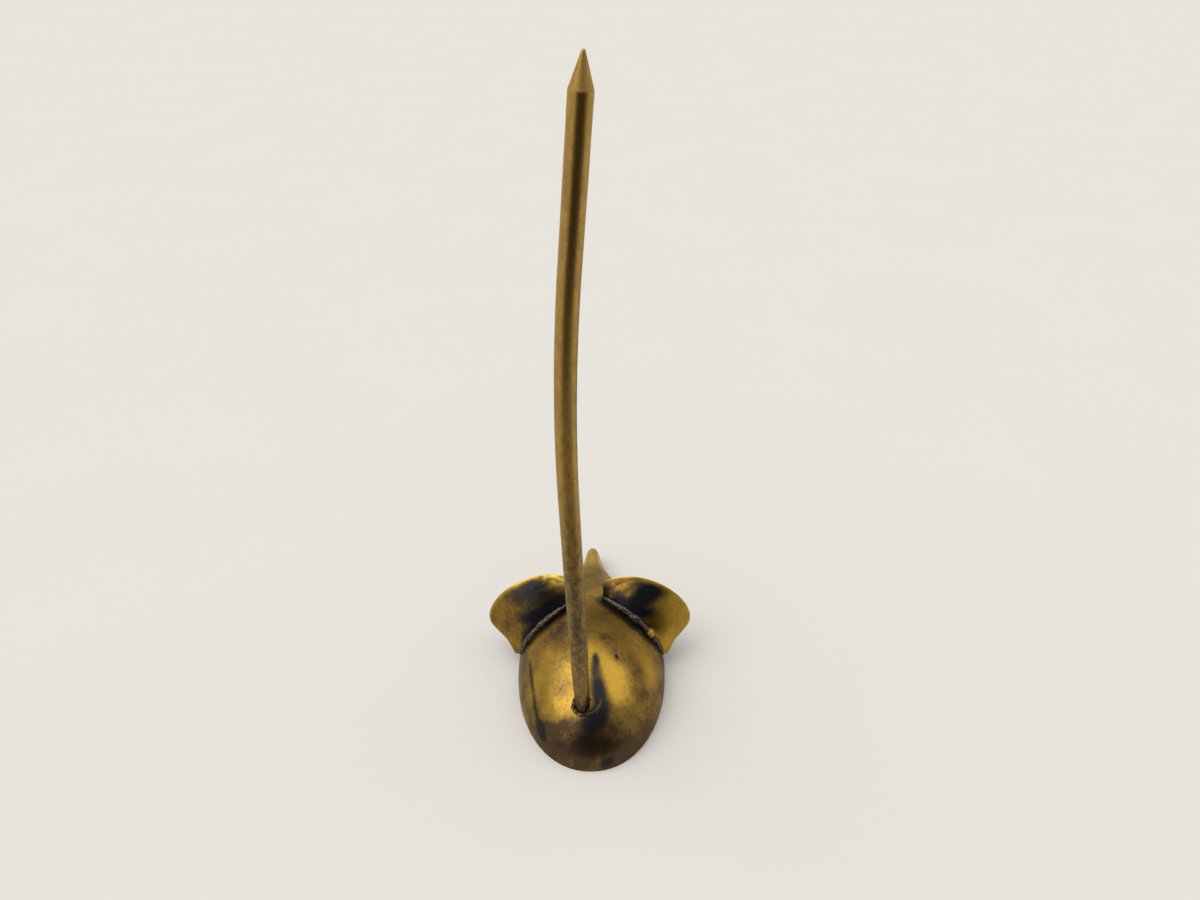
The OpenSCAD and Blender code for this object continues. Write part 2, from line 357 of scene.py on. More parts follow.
def finish_piece(bm: Mesh, name: str, slot: Slot, material: Material,
                 marks: dict[str, Mark], crease: float) -> bpy.types.Object:
    """Turn a mesh into a finished piece of the object.

    Args:
        bm: Mesh in millimetres, which is freed.
        name: Name of the piece, which is also the CAD node that it stands for.
        slot: Finish slot of the record, which is not used.
        material: Material of the whole piece.
        marks: Name of each mark to the function that gives it at a point in millimetres.
        crease: Edges sharper than this many degrees stay sharp in the shading.

    Returns:
        The new object, which rides on the body.
    """
    mesh = bpy.data.meshes.new(name)
    values = {mark: [rule(vert.co) for vert in bm.verts] for mark, rule in marks.items()}
    bmesh.ops.scale(bm, vec=(MM, MM, MM), verts=bm.verts[:])
    bm.to_mesh(mesh)
    bm.free()
    for mark, heights in values.items():
        layer = mesh.attributes.new(mark, "FLOAT", "POINT")
        layer.data.foreach_set("value", heights)
    mesh.shade_smooth()
    mesh.set_sharp_from_angle(angle=math.radians(crease))
    mesh.materials.append(material)
    piece = bpy.data.objects.new(name + "_piece", mesh)
    bpy.context.scene.collection.objects.link(piece)
    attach(piece, BODY)
    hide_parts(name)
    log.info("%s: %d faces", piece.name, len(mesh.polygons))
    return piece


def verts_of(geometry: Sequence[Any]) -> list[Vert]:
    """Return the vertices in a list of mesh elements."""
    return [part for part in geometry if isinstance(part, Vert)]


def edges_among(verts: Sequence[Vert]) -> list[Edge]:
    """Find the edges among some vertices.

    Args:
        verts: Vertices that both ends of an edge have to be in.

    Returns:
        The edges, in the order of their vertices.
    """
    inside = set(verts)
    found = {edge for vert in verts for edge in vert.link_edges if edge.other_vert(vert) in inside}
    return sorted(found, key=lambda edge: min(vert.index for vert in edge.verts))


def drawn_out(bm: Mesh, edges: list[Edge]) -> tuple[list[Vert], list[Edge]]:
    """Extrude a ring in place.

    Args:
        bm: Mesh that holds the ring.
        edges: Edges of the ring.

    Returns:
        The vertices and the edges of the new ring.
    """
    made = bmesh.ops.extrude_edge_only(bm, edges=edges)["geom"]
    ring = verts_of(made)
    inside = set(ring)
    edges = [part for part in made if isinstance(part, Edge) and set(part.verts) <= inside]
    return ring, edges


def sweep(bm: Mesh, path: Sequence[Vector], radii: Sequence[float], sides: int,
          across: Vector) -> None:
    """Draw a round section along a path, with closed ends.

    Args:
        bm: Mesh that receives the sweep.
        path: Points of the middle line.
        radii: Radius at each point.
        sides: Count of sides of the section.
        across: Direction that the section's first axis is square to.
    """
    last = len(path) - 1
    frames = []
    for i, place in enumerate(path):
        along = (path[min(i + 1, last)] - path[max(i - 1, 0)]).normalized()
        first = across.cross(along).normalized()
        second = along.cross(first)
        turn = Matrix((first, second, along)).transposed().to_4x4()
        frames.append(Matrix.Translation(place) @ turn @ Matrix.Scale(radii[i], 4))
    ring = bmesh.ops.create_circle(bm, cap_ends=False, segments=sides, radius=1.0)["verts"]
    edges = edges_among(ring)
    bmesh.ops.transform(bm, matrix=frames[0], verts=ring)
    start = ring
    for before, after in zip(frames, frames[1:]):
        ring, edges = drawn_out(bm, edges)
        bmesh.ops.transform(bm, matrix=after @ before.inverted(), verts=ring)
    for rim, middle in ((start, path[0]), (ring, path[-1])):
        made = bmesh.ops.extrude_edge_only(bm, edges=edges_among(rim))["geom"]
        bmesh.ops.pointmerge(bm, verts=verts_of(made), merge_co=middle)
    bmesh.ops.recalc_face_normals(bm, faces=bm.faces[:])


def roughen(bm: Mesh, lumps: Lumps, shift: float = 0.0) -> None:
    """Push the vertices of a closed mesh in and out.

    Args:
        bm: Mesh to roughen.
        lumps: Lumps to give it.
        shift: Shift of their seed.
    """
    bm.normal_update()
    for vert in bm.verts:
        vert.co += vert.normal * lumps.at(vert.co, shift)


def bead_end(t: float, least: float, power: float) -> float:
    """Return the fullness of a bead at a share t of its length, which falls to the least at both ends."""
    return max(least, math.sin(math.pi * t) ** power)


def round_edges(bm: Mesh, angle: float, reach: float, segments: int) -> None:
    """Round the sharp edges of a closed mesh.

    Args:
        bm: Mesh to work on.
        angle: Edges sharper than this many degrees are rounded.
        reach: Width of the rounding on each side of an edge.
        segments: Count of faces across the rounding.
    """
    bm.normal_update()
    sharp = [edge for edge in bm.edges if edge.is_manifold and edge.calc_face_angle() > math.radians(angle)]
    bmesh.ops.bevel(bm, geom=sharp, offset=reach, offset_type="OFFSET", segments=segments, profile=0.5,
                    affect="EDGES", clamp_overlap=True, material=-1)


class Piece:
    """One piece of the mouse, with the name of the CAD node that it stands for."""

    name: str
    slot: Slot
    crease: float = 40.0

    def shape(self, bm: Mesh) -> None:
        """Shape the piece, in millimetres, in an empty mesh."""
        raise NotImplementedError

    def marks(self) -> dict[str, Mark]:
        """Return the rule of each mark that is not painted while the piece is shaped."""
        return {}

    def build(self, material: Material) -> bpy.types.Object:
        """Build the piece.

        Args:
            material: Material of the whole piece.

        Returns:
            The finished object.
        """
        bm = bmesh.new()
        self.shape(bm)
        return finish_piece(bm, self.name, self.slot, material, self.marks(), self.crease)


class SolderPiece(Piece):
    """A piece of solder, which may show bare brass."""

    slot = Slot.SOLDER
    crease = 80.0

    def bright(self, place: Vector) -> float:
        """Return the share of bare brass at a point."""
        raise NotImplementedError

    def marks(self) -> dict[str, Mark]:
        """Return the rule of the bare brass."""
        return {"bright": self.bright}


# The mouse


@dataclass(frozen=True)
class Trail:
    """A soft-edged mark along a line."""

    line: tuple[Vector, ...]
    widths: tuple[float, ...]
    depth: float
    softness: float

    def at(self, place: Vector) -> float:
        """Return the strength of the mark at a point.

        Args:
            place: Point in millimetres.

        Returns:
            The depth of the mark near its line, which fades out around its half width.
        """
        best = 0.0
        for i in range(max(1, len(self.line) - 1)):
            start, end = self.line[i], self.line[min(i + 1, len(self.line) - 1)]
            along = end - start
            share = 0.0
            if along.length_squared > 0.0:
                share = min(1.0, max(0.0, (place - start).dot(along) / along.length_squared))
            width = lerp(self.widths[i], self.widths[min(i + 1, len(self.line) - 1)], share)
            gap = (place - start - along * share).length / width
            best = max(best, smoothstep(1.0 + self.softness, 1.0 - self.softness, gap))
        return self.depth * best


@dataclass(frozen=True)
class Patch:
    """A soft-edged mark on an ear, between two stations along and two across it."""

    along: Pair
    across: Pair
    depth: float
    soft_along: float
    soft_across: float = 0.18

    def at(self, s: float, r: float) -> float:
        """Return the strength of the mark at a place along and across the ear."""
        return (self.depth * self.window(s, self.along, self.soft_along)
                * self.window(r, self.across, self.soft_across))

    @staticmethod
    def window(value: float, span: Pair, soft: float) -> float:
        """Return 1 inside a span and 0 outside it, with soft ends."""
        return (smoothstep(span[0] - soft, span[0] + soft, value)
                * smoothstep(span[1] + soft, span[1] - soft, value))


def strongest(patches: Sequence[Patch], s: float, r: float) -> float:
    """Return the strength of the strongest of some patches at a place on an ear."""
    return max((patch.at(s, r) for patch in patches), default=0.0)


@dataclass(frozen=True)
class BodyForm:
    """The raised sheet: a half teardrop from the rump to the nose."""

    length: float = 73.2
    half_width: float = 17.8
    height: float = 16.5
    shoulder: float = 31.0
    rump_fullness: float = 2.1
    back_fullness: float = 2.0
    snout_half_width: float = 2.1
    snout_height: float = 5.5
    nose_round: float = 3.0
    wall: float = 1.1
    nose_wall: float = 4.0
    seat_margin: float = 1.0

    def end(self, depth: float) -> float:
        """Return where a skin ends at the nose, as a distance from the rump."""
        return self.length - (self.nose_wall if depth else 0.0)

    def off_ends(self, u: float, margin: float) -> float:
        """Return a distance from the rump that is kept off both ends by a margin."""
        return min(self.length - margin, max(margin, u))

    def taper(self, u: float, full: float, small: float, depth: float, fullness: float) -> float:
        """Return a half measure of the body.

        Args:
            u: Distance from the rump.
            full: Measure at the shoulders.
            small: Measure at the snout.
            depth: Depth of the skin below the outer one.
            fullness: Power of the rump's curve, where 2 is an ellipse.

        Returns:
            The measure at that distance.
        """
        if u < self.shoulder:
            behind = (self.shoulder - u) / (self.shoulder - depth)
            return (full - depth) * max(0.0, 1.0 - behind ** fullness) ** (1.0 / fullness)
        share = (u - self.shoulder) / (self.length - self.shoulder)
        return lerp(small, full, 0.5 + 0.5 * math.cos(math.pi * share)) - depth

    def section(self, u: float, depth: float = 0.0) -> Pair:
        """Work out a section across the body.

        Args:
            u: Distance from the rump.
            depth: Depth of the skin below the outer one.

        Returns:
            The half width and the height of the section.
        """
        past = (u - self.end(depth) + self.nose_round) / self.nose_round
        cap = 1.0 if past <= 0.0 else math.sqrt(max(0.0, 1.0 - past * past))
        wide = self.taper(u, self.half_width, self.snout_half_width, depth, self.rump_fullness)
        high = self.taper(u, self.height, self.snout_height, depth, self.back_fullness)
        return wide * cap, high * cap

    def skin(self, u: float, angle: float) -> Vector:
        """Find a point of the outer skin.

        Args:
            u: Distance from the rump.
            angle: Angle from the right rim in degrees.

        Returns:
            The point.
        """
        wide, high = self.section(u)
        turn = math.radians(angle)
        return Vector((wide * math.cos(turn), u - self.length / 2, high * math.sin(turn)))

    def trail(self, marks: Sequence[Triple], depth: float, softness: float) -> Trail:
        """Return a mark on the skin through points of distance from the rump, angle and half width."""
        line = tuple(self.skin(u, angle) for u, angle, _ in marks)
        return Trail(line, tuple(width for _, _, width in marks), depth, softness)

    def on_back(self, x: float, u: float) -> Vector:
        """Return the point of the outer skin above a place in plan."""
        wide, high = self.section(u)
        return Vector((x, u - self.length / 2, high * math.sqrt(max(0.0, 1.0 - (x / wide) ** 2))))

    def seated(self, place: Vector, depth: float) -> Vector:
        """Lift a point that lies too deep in the body.

        Args:
            place: Point near the skin.
            depth: How far below the outer skin it may lie.

        Returns:
            The point, or the nearest one at that depth on its ray from the body's middle line.
        """
        u = self.off_ends(place.y + self.length / 2, self.seat_margin)
        wide, high = self.section(u)
        radius = math.hypot(place.x / wide, place.z / high)
        least = 1.0 - depth / min(wide, high)
        if radius >= least or radius < TINY:
            return place
        lift = least / radius
        return Vector((place.x * lift, place.y, place.z * lift))

    def stations(self, depth: float, rump: int, flank: int, nose: int) -> list[float]:
        """Return the places of the rings of one skin.

        Args:
            depth: Depth of the skin below the outer one.
            rump: Count of rings behind the shoulders.
            flank: Count of rings before the nose.
            nose: Count of rings over the nose.

        Returns:
            Distances from the rump, from the first ring to the last.
        """
        end = self.end(depth)
        start = end - self.nose_round
        behind = [lerp(self.shoulder, depth, math.cos(math.pi / 2 * i / rump)) for i in range(1, rump + 1)]
        ahead = [lerp(self.shoulder, start, i / flank) for i in range(1, flank + 1)]
        over = [end - self.nose_round * (1 - math.sin(math.pi / 2 * i / nose)) for i in range(1, nose)]
        return behind + ahead + over


@dataclass(frozen=True)
class EarForm:
    """The seam and the curled sheet of an ear, drawn for the right side."""

    body: BodyForm
    share: float
    inner_edge: float = 3.2
    curl: float = 0.5
    station: float = 1.0
    rake: float = 8.2
    rake_power: float = 3.5
    wall: float = 1.0
    top_angle: float = 79.0
    low_angle: float = 6.0
    join: float = 0.62
    flow: float = 0.2
    run: float = 0.9
    crown: Pair = (0.93, 1.65)
    tip: Pair = (1.75, 0.455)
    under: Pair = (1.212, 0.418)
    foot: Pair = (1.04, 0.218)
    end: Pair = (1.0, 0.121)
    ease: float = 0.07
    ease_span: Pair = (0.45, 0.6)

    def seam(self, s: float) -> Vector:
        """Find a point of the seam.

        Args:
            s: Place along the seam, from its upper end at 0 to its lower end at 1.

        Returns:
            The point.
        """
        ahead = self.rake * max(0.0, 1.0 - s) ** self.rake_power
        return self.body.skin(self.body.shoulder + self.station + ahead,
                              lerp(self.top_angle, self.low_angle, s))

    def guide(self, share: Pair) -> Vector:
        """Return a guide of the free edge across the body, from its shares of the body."""
        return Vector((share[0] * self.body.half_width, share[1] * self.body.height))

    def edge(self, s: float) -> Vector:
        """Find a point of the free edge, with the meeting of its two curves eased.

        Args:
            s: Place along the seam.

        Returns:
            The point across the body.
        """
        reach = self.ease * smoothstep(*self.ease_span, s)
        near = [self.drawn_edge(s + 0.5 * step * reach) for step in range(-2, 3)]
        return sum(near, Vector((0.0, 0.0))) / len(near)

    def drawn_edge(self, s: float) -> Vector:
        """Find a point of the free edge as it is drawn, in two curves.

        Args:
            s: Place along the seam.

        Returns:
            The point across the body.
        """
        inner = self.seam(0.0)
        tip, under = self.guide(self.tip), self.guide(self.under)
        if s < self.join:
            t = s / self.join
            p = (Vector((inner.x, inner.z + self.inner_edge)), self.guide(self.crown), tip, under)
        else:
            t = (s - self.join) / (1.0 - self.join)
            p = (under, lerp(tip, under, 1.0 + self.flow), self.guide(self.foot), self.guide(self.end))
        r = 1.0 - t
        return r ** 3 * p[0] + 3 * t * r * r * p[1] + 3 * t * t * r * p[2] + t ** 3 * p[3]

    def way(self, s: float) -> Vector:
        """Return the way from the seam to the free edge, across the body."""
        seam, edge = self.seam(s), self.edge(s)
        return Vector((edge.x - seam.x, 0.0, edge.y - seam.z))

    def point(self, s: float, r: float) -> Vector:
        """Return the sheet's middle at a share r of the way from the seam to the free edge."""
        way = self.share * self.way(s)
        return self.seam(s) + r * way + Vector((0.0, self.curl * r * abs(r) * way.length, 0.0))

    def normal(self, s: float, r: float) -> Vector:
        """Find the direction square to the ear's back.

        Args:
            s: Place along the seam.
            r: Share of the way from the seam to the free edge.

        Returns:
            The direction, to the rear.
        """
        ds, dr = 0.01, 0.05
        along = self.point(s + ds, r) - self.point(max(0.0, s - ds), r)
        return along.cross(self.point(s, r + dr) - self.point(s, r - dr)).normalized()


@dataclass
class BodyShell(Piece):
    """The hollow body: back, rump and snout, open underneath.

    Its rings are counted behind the shoulders, before the nose and over the nose.
    """

    name = "body_shell"
    slot = Slot.BODY
    form: BodyForm
    seam: list[Vector]
    rings: tuple[int, int, int] = (52, 60, 14)
    columns: int = 96
    waves: Lumps = Lumps(0.1, 9.0, 3.1)
    dints: Lumps = Lumps(0.035, 3.2, 7.7)
    calm_rim: Rise = Rise(1.0, 0.2, 5.0)
    calm_nose: float = 20.0
    sharp_angle: float = 60.0
    rim_round: float = 0.18
    pit: Pair = (5.9, 20.1)
    pit_depth: float = 0.25
    pit_reach: float = 0.45
    pit_field: float = 1.2
    pit_cuts: int = 3
    pit_stain: float = 0.42
    seam_gap: float = 2.7
    seam_widths: Pair = (2.3, 1.2)
    rump: Rise = Rise(0.95, 9.8, 3.5)
    side_lag: float = 0.06
    right_lag: float = 0.32
    right_from: float = 2.0
    rim: Rise = Rise(0.82, 11.5, 3.0)
    rim_end: Rise = Rise(1.0, 50.0, 40.0)
    back: Rise = Rise(0.42, 20.5, 27.0)
    back_end: Rise = Rise(1.0, 74.0, 58.0)
    snout: Rise = Rise(0.4, 48.0, 60.0)
    snout_end: Rise = Rise(1.0, 73.0, 67.0)
    inner_brown: float = 0.5
    inner_share: float = 0.6
    end_margin: float = 0.2
    # Painted pale reflection on the snout, growing towards the nose.
    painted_pale_nose: Rise = Rise(0.48, 50.0, 68.0)

    def __post_init__(self) -> None:
        """Lay out the marks on the skin, each through points of distance, angle and half width."""
        trail = self.form.trail
        self.pit_place: Vector = self.form.on_back(*self.pit)
        behind = tuple(place - Vector((0.0, self.seam_gap, 0.0)) for place in self.seam)
        mirrored = tuple(Vector((-place.x, place.y, place.z)) for place in behind)
        last = len(behind) - 1
        broad = tuple(lerp(*self.seam_widths, i / last) for i in range(last + 1))
        narrow = (self.seam_widths[1],) * len(behind)
        self.stains_and_shade: tuple[Trail, ...] = (
            # Painted reflection of the rod: a dark band right of its root, along the back and down the rump.
            trail(((19.5, 86.5, 0.6), (15.8, 86.0, 1.5), (12.1, 84.5, 2.2)), 0.88, 0.85),
            trail(((13.6, 84.5, 1.3), (12.1, 83.5, 1.8), (8.9, 80.0, 2.5), (6.5, 81.0, 2.5),
                   (5.2, 90.0, 2.1)), 0.97, 0.75),
            trail(((8.7, 98.0, 2.1), (8.6, 97.0, 2.1)), 0.85, 0.6),
            trail(((23.3, 145.5, 0.5), (17.7, 146.0, 0.7), (14.4, 147.0, 0.75), (11.1, 151.5, 0.85),
                   (9.0, 154.5, 0.95)), 0.75, 0.75),
            trail(((9.0, 154.5, 1.0), (7.9, 155.0, 1.5), (6.4, 158.0, 1.2)), 1.0, 0.5),
            trail(((0.6, 36.0, 1.1), (1.0, 31.0, 1.0)), 0.8, 0.85),
            trail(((3.5, 140.0, 1.2), (3.2, 115.0, 1.4), (3.2, 93.0, 1.7)), 0.55, 0.95),
            # Painted shade on the back just behind each ear seam.
            Trail(behind, broad, 0.92, 0.75),
            Trail(mirrored, narrow, 0.72, 0.75),
            Trail((self.pit_place,), (self.pit_stain,), 1.0, 0.4),
        )
        self.browns: tuple[Trail, ...] = (
            # The first two are painted shade: they darken the right of the back around its highlight and
            # bound it.
            trail(((24.5, 78.0, 1.5), (20.5, 65.0, 2.2), (18.5, 53.0, 2.6), (14.5, 45.0, 2.8)), 0.62, 0.75),
            trail(((14.5, 45.0, 2.8), (11.5, 46.0, 2.6), (9.0, 53.0, 2.2), (7.3, 64.0, 1.6)), 0.2, 0.8),
            trail(((29.0, 112.0, 2.0), (26.0, 127.0, 2.4), (22.0, 140.0, 2.4)), 0.4, 0.8),
            trail(((6.6, 148.0, 1.4), (6.2, 132.0, 1.6), (6.2, 112.0, 1.6)), 0.55, 0.8),
            trail(((22.0, 112.0, 4.0), (15.0, 114.0, 5.0), (9.0, 112.0, 4.0)), 0.46, 0.9),
        )

    def half_ring(self, bm: Mesh) -> list[Vert]:
        """Add the upper half of a unit circle that stands across the body.

        Args:
            bm: Mesh that receives it.

        Returns:
            Its vertices.
        """
        ring = bmesh.ops.create_circle(bm, cap_ends=False, segments=2 * self.columns, radius=1.0)["verts"]
        bmesh.ops.rotate(bm, verts=ring, cent=(0, 0, 0), matrix=Matrix.Rotation(math.pi / 2, 3, "X"))
        bmesh.ops.bisect_plane(bm, geom=ring + edges_among(ring), dist=TINY, plane_co=(0, 0, 0),
                               plane_no=(0, 0, 1), clear_inner=True)
        return [vert for vert in ring if vert.is_valid]

    def skin(self, bm: Mesh, depth: float) -> None:
        """Loft one skin from the rump to the nose by drawing out a half ring.

        Args:
            bm: Mesh that receives the skin.
            depth: Depth of the skin below the outer one.
        """
        form = self.form
        ring = self.half_ring(bm)
        edges = edges_among(ring)
        size = Vector((1.0, 1.0, 1.0))
        start, at = ring, 0.0
        for i, u in enumerate(form.stations(depth, *self.rings)):
            if i:
                ring, edges = drawn_out(bm, edges)
            wide, high = form.section(u, depth)
            bmesh.ops.scale(bm, vec=(wide / size.x, 1.0, high / size.z), verts=ring)
            bmesh.ops.translate(bm, vec=(0.0, u - form.length / 2 - at, 0.0), verts=ring)
            size, at = Vector((wide, 1.0, high)), u - form.length / 2
        for rim, u in ((start, depth), (ring, form.end(depth))):
            made = bmesh.ops.extrude_edge_only(bm, edges=edges_among(rim))["geom"]
            bmesh.ops.pointmerge(bm, verts=verts_of(made), merge_co=(0.0, u - form.length / 2, 0.0))

    def drill_pit(self, bm: Mesh) -> None:
        """Divide the mesh finely around the small pit on the back.

        Args:
            bm: Mesh of the outer skin.
        """
        near = [edge for edge in bm.edges
                if all((vert.co - self.pit_place).length < self.pit_field for vert in edge.verts)]
        bmesh.ops.subdivide_edges(bm, edges=near, cuts=self.pit_cuts, use_grid_fill=True)

    def hammer(self, bm: Mesh) -> None:
        """Beat slow waves and small dints into the outer skin, which stays put at the rim and the nose.

        Args:
            bm: Mesh of the outer skin.
        """
        for vert in bm.verts:
            place = vert.co.copy()
            hold = self.calm_rim.at(place.z) * smoothstep(self.form.length / 2, self.calm_nose, place.y)
            height = self.waves.at(place) + self.dints.at(place)
            height -= self.pit_depth * bump((place - self.pit_place).length, self.pit_reach)
            vert.co += vert.normal * (hold * height)

    def tarnish(self, place: Vector) -> float:
        """Spread the brown tarnish, which is strong on the rump, along the rim and inside, with painted
        shade beside the highlight on the right of the back.

        Args:
            place: Point in millimetres.

        Returns:
            The tarnish at that point.
        """
        u = place.y + self.form.length / 2
        wide, high = self.form.section(self.form.off_ends(u, self.end_margin))
        skin = 1.0 - self.inner_share * self.form.wall / max(wide, high)
        inner = self.inner_brown if math.hypot(place.x / wide, place.z / high) < skin else 0.0
        lag = self.side_lag * abs(place.x) + self.right_lag * max(0.0, place.x - self.right_from)
        rim = self.rim.at(place.z) * self.rim_end.at(u)
        back = self.back.at(u) * self.back_end.at(u)
        drift = max(trail.at(place) for trail in self.browns)
        snout = self.snout.at(u) * self.snout_end.at(u)
        return min(1.0, max(self.rump.at(u + lag), drift) + rim + back + snout + inner)

    def painted_highlight(self, place: Vector) -> float:
        """Return the share of painted pale reflection at a point: it grows along the snout to the nose."""
        return self.painted_pale_nose.at(place.y + self.form.length / 2)

    def stain_and_shade(self, place: Vector) -> float:
        """Return the dark at a point: painted reflection of the rod right of its root, painted shade behind
        the ear seams, the oxide streak on the left flank and the pit.
        """
        return max(trail.at(place) for trail in self.stains_and_shade)

    def marks(self) -> dict[str, Mark]:
        """Return the rules of the marks."""
        return {"tarnish": self.tarnish, "stain_and_shade": self.stain_and_shade, "painted_highlight": self.painted_highlight}

    def shape(self, bm: Mesh) -> None:
        """Raise and beat the outer skin, line it with the inner one and round the rim.

        Args:
            bm: Empty mesh, which receives the piece.
        """
        self.skin(bm, 0.0)
        bmesh.ops.recalc_face_normals(bm, faces=bm.faces[:])
        bm.normal_update()
        if sum(face.normal.z for face in bm.faces) < 0.0:
            bmesh.ops.reverse_faces(bm, faces=bm.faces[:])
            bm.normal_update()
        self.drill_pit(bm)
        bm.normal_update()
        self.hammer(bm)
        self.skin(bm, self.form.wall)
        bmesh.ops.bridge_loops(bm, edges=[edge for edge in bm.edges if edge.is_boundary])
        bmesh.ops.recalc_face_normals(bm, faces=bm.faces[:])
        round_edges(bm, self.sharp_angle, self.rim_round, segments=2)


@dataclass(frozen=True)
class EarMarks:
    """The marks of one ear: painted dark reflections, tarnish, painted highlights, the beaten spot and the
    fleck on its solder.
    """

    stains_and_shade: tuple[Patch, ...]
    browns: tuple[Patch, ...]
    painted_highlights: tuple[Patch, ...]
    beaten: Pair
    fleck: float | None


@dataclass
class Ear(Piece):
    """One petal ear: a curled sheet with a softened edge."""

    slot = Slot.EAR
    name: str
    side: Side
    form: EarForm
    spots: EarMarks
    rows: int = 110
    columns: int = 46
    root: float = 0.7
    trim: float = 0.05
    least_way: float = 1.0
    worn_edge: Rise = Rise(1.0, 0.93, 0.99)
    worn_tarnish: float = -0.15
    sharp_angle: float = 50.0
    edge_round: float = 0.3
    waves: Lumps = Lumps(0.12, 4.5, 11.0)
    dints: Lumps = Lumps(0.15, 1.3, 5.0)
    dint_reach: float = 4.0

    def sheet(self, bm: Mesh) -> None:
        """Lay a flat grid along the seam, curl it out to the free edge and paint its marks.

        Args:
            bm: Mesh that receives the sheet's middle.
        """
        bmesh.ops.create_grid(bm, x_segments=self.rows, y_segments=self.columns, size=0.5)
        stain_and_shade, tarnish, painted_highlight = (bm.verts.layers.float.new(mark) for mark in ("stain_and_shade", "tarnish", "painted_highlight"))
        for vert in bm.verts:
            s = self.form.run * (vert.co.x + 0.5)
            way = self.form.share * self.form.way(s)
            size = max(self.least_way, way.length)
            r = lerp(-self.root / size, 1.0 - self.trim / size, vert.co.y + 0.5)
            worn = self.worn_edge.at(r)
            # Painted dark reflections, eased off at the worn edge.
            vert[stain_and_shade] = (1.0 - worn) * strongest(self.spots.stains_and_shade, s, r)
            vert[tarnish] = lerp(strongest(self.spots.browns, s, r), self.worn_tarnish, worn)
            # Painted highlights.
            vert[painted_highlight] = strongest(self.spots.painted_highlights, s, r)
            vert.co = self.form.point(s, r)

    def hammer(self, bm: Mesh) -> None:
        """Give the sheet its hand-beaten waves, with small dints around its beaten spot.

        Args:
            bm: Mesh of the sheet's middle.
        """
        spot = self.form.point(*self.spots.beaten)
        bm.normal_update()
        for vert in bm.verts:
            near = bump((vert.co - spot).length, self.dint_reach)
            height = self.waves.at(vert.co, self.side.value) + near * self.dints.at(vert.co, self.side.value)
            vert.co += vert.normal * height

    def shape(self, bm: Mesh) -> None:
        """Curl and beat the sheet, give it its thickness and round its edges.

        Args:
            bm: Empty mesh, which receives the piece.
        """
        self.sheet(bm)
        self.hammer(bm)
        bm.normal_update()
        for vert in bm.verts:
            vert.co -= vert.normal * (0.5 * self.form.wall)
        bmesh.ops.solidify(bm, geom=bm.faces[:], thickness=-self.form.wall)
        bmesh.ops.recalc_face_normals(bm, faces=bm.faces[:])
        round_edges(bm, self.sharp_angle, self.edge_round, segments=3)
        if self.side is Side.LEFT:
            bmesh.ops.scale(bm, vec=(-1.0, 1.0, 1.0), verts=bm.verts[:])
            bmesh.ops.recalc_face_normals(bm, faces=bm.faces[:])


@dataclass
class EarSolder(SolderPiece):
    """The rough bead of solder behind one ear, with a fleck of bare brass where one is given.

    Its ends are the least fullness and the power for bead_end, and the fleck lies out of the seam and up.
    """

    name: str
    side: Side
    form: EarForm
    fleck: float | None
    radius: float = 0.85
    span: Pair = (0.02, 0.88)
    up: float = 0.15
    off: float = 0.55
    ends: Pair = (0.12, 0.3)
    fullness: float = 0.95
    lumps: Lumps = Lumps(0.34, 2.3, 20.0)
    knobs: Lumps = Lumps(0.14, 1.1, 20.0)
    grit: Lumps = Lumps(0.06, 0.4, 23.0)
    side_seed: float = 9.0
    fleck_off: Pair = (1.2, 0.4)
    fleck_edge: Rise = Rise(1.0, 1.3, 0.8)
    fleck_swell: float = 0.55
    fleck_length: float = 0.025
    steps: int = 150
    sides: int = 28
    sink: float = 0.9

    def bright(self, place: Vector) -> float:
        """Show bare brass on the fleck of the bead.

        Args:
            place: Point in millimetres.

        Returns:
            The share of bare brass at that point.
        """
        if self.fleck is None:
            return 0.0
        mirrored = Vector((place.x * self.side.value, place.y, place.z))
        spot = self.form.seam(self.fleck) + self.fleck_off[0] * self.form.normal(self.fleck, 0.0)
        spot += self.fleck_off[1] * self.form.way(self.fleck).normalized()
        return self.fleck_edge.at((mirrored - spot).length)

    def shape(self, bm: Mesh) -> None:
        """Lay a lumpy bead along the seam and seat it in the back.

        Args:
            bm: Empty mesh, which receives the piece.
        """
        path, radii = [], []
        shift = self.side_seed * self.side.value
        for i in range(self.steps + 1):
            t = i / self.steps
            s = lerp(*self.span, t)
            out = (0.5 * self.form.wall + self.off * self.radius) * self.form.normal(s, 0.0)
            place = self.form.seam(s) + self.up * self.radius * self.form.way(s).normalized() + out
            path.append(place)
            full = self.fullness + self.lumps.at(place, shift)
            if self.fleck is not None:
                full += self.fleck_swell * bump(s - self.fleck, self.fleck_length)
            radii.append(self.radius * full * bead_end(t, *self.ends))
        sweep(bm, path, radii, self.sides, Vector((0.0, 1.0, 0.0)))
        roughen(bm, self.knobs, shift)
        roughen(bm, self.grit, shift)
        for vert in bm.verts:
            vert.co = self.form.body.seated(vert.co, self.sink)
        if self.side is Side.LEFT:
            bmesh.ops.scale(bm, vec=(-1.0, 1.0, 1.0), verts=bm.verts[:])
        bmesh.ops.recalc_face_normals(bm, faces=bm.faces[:])


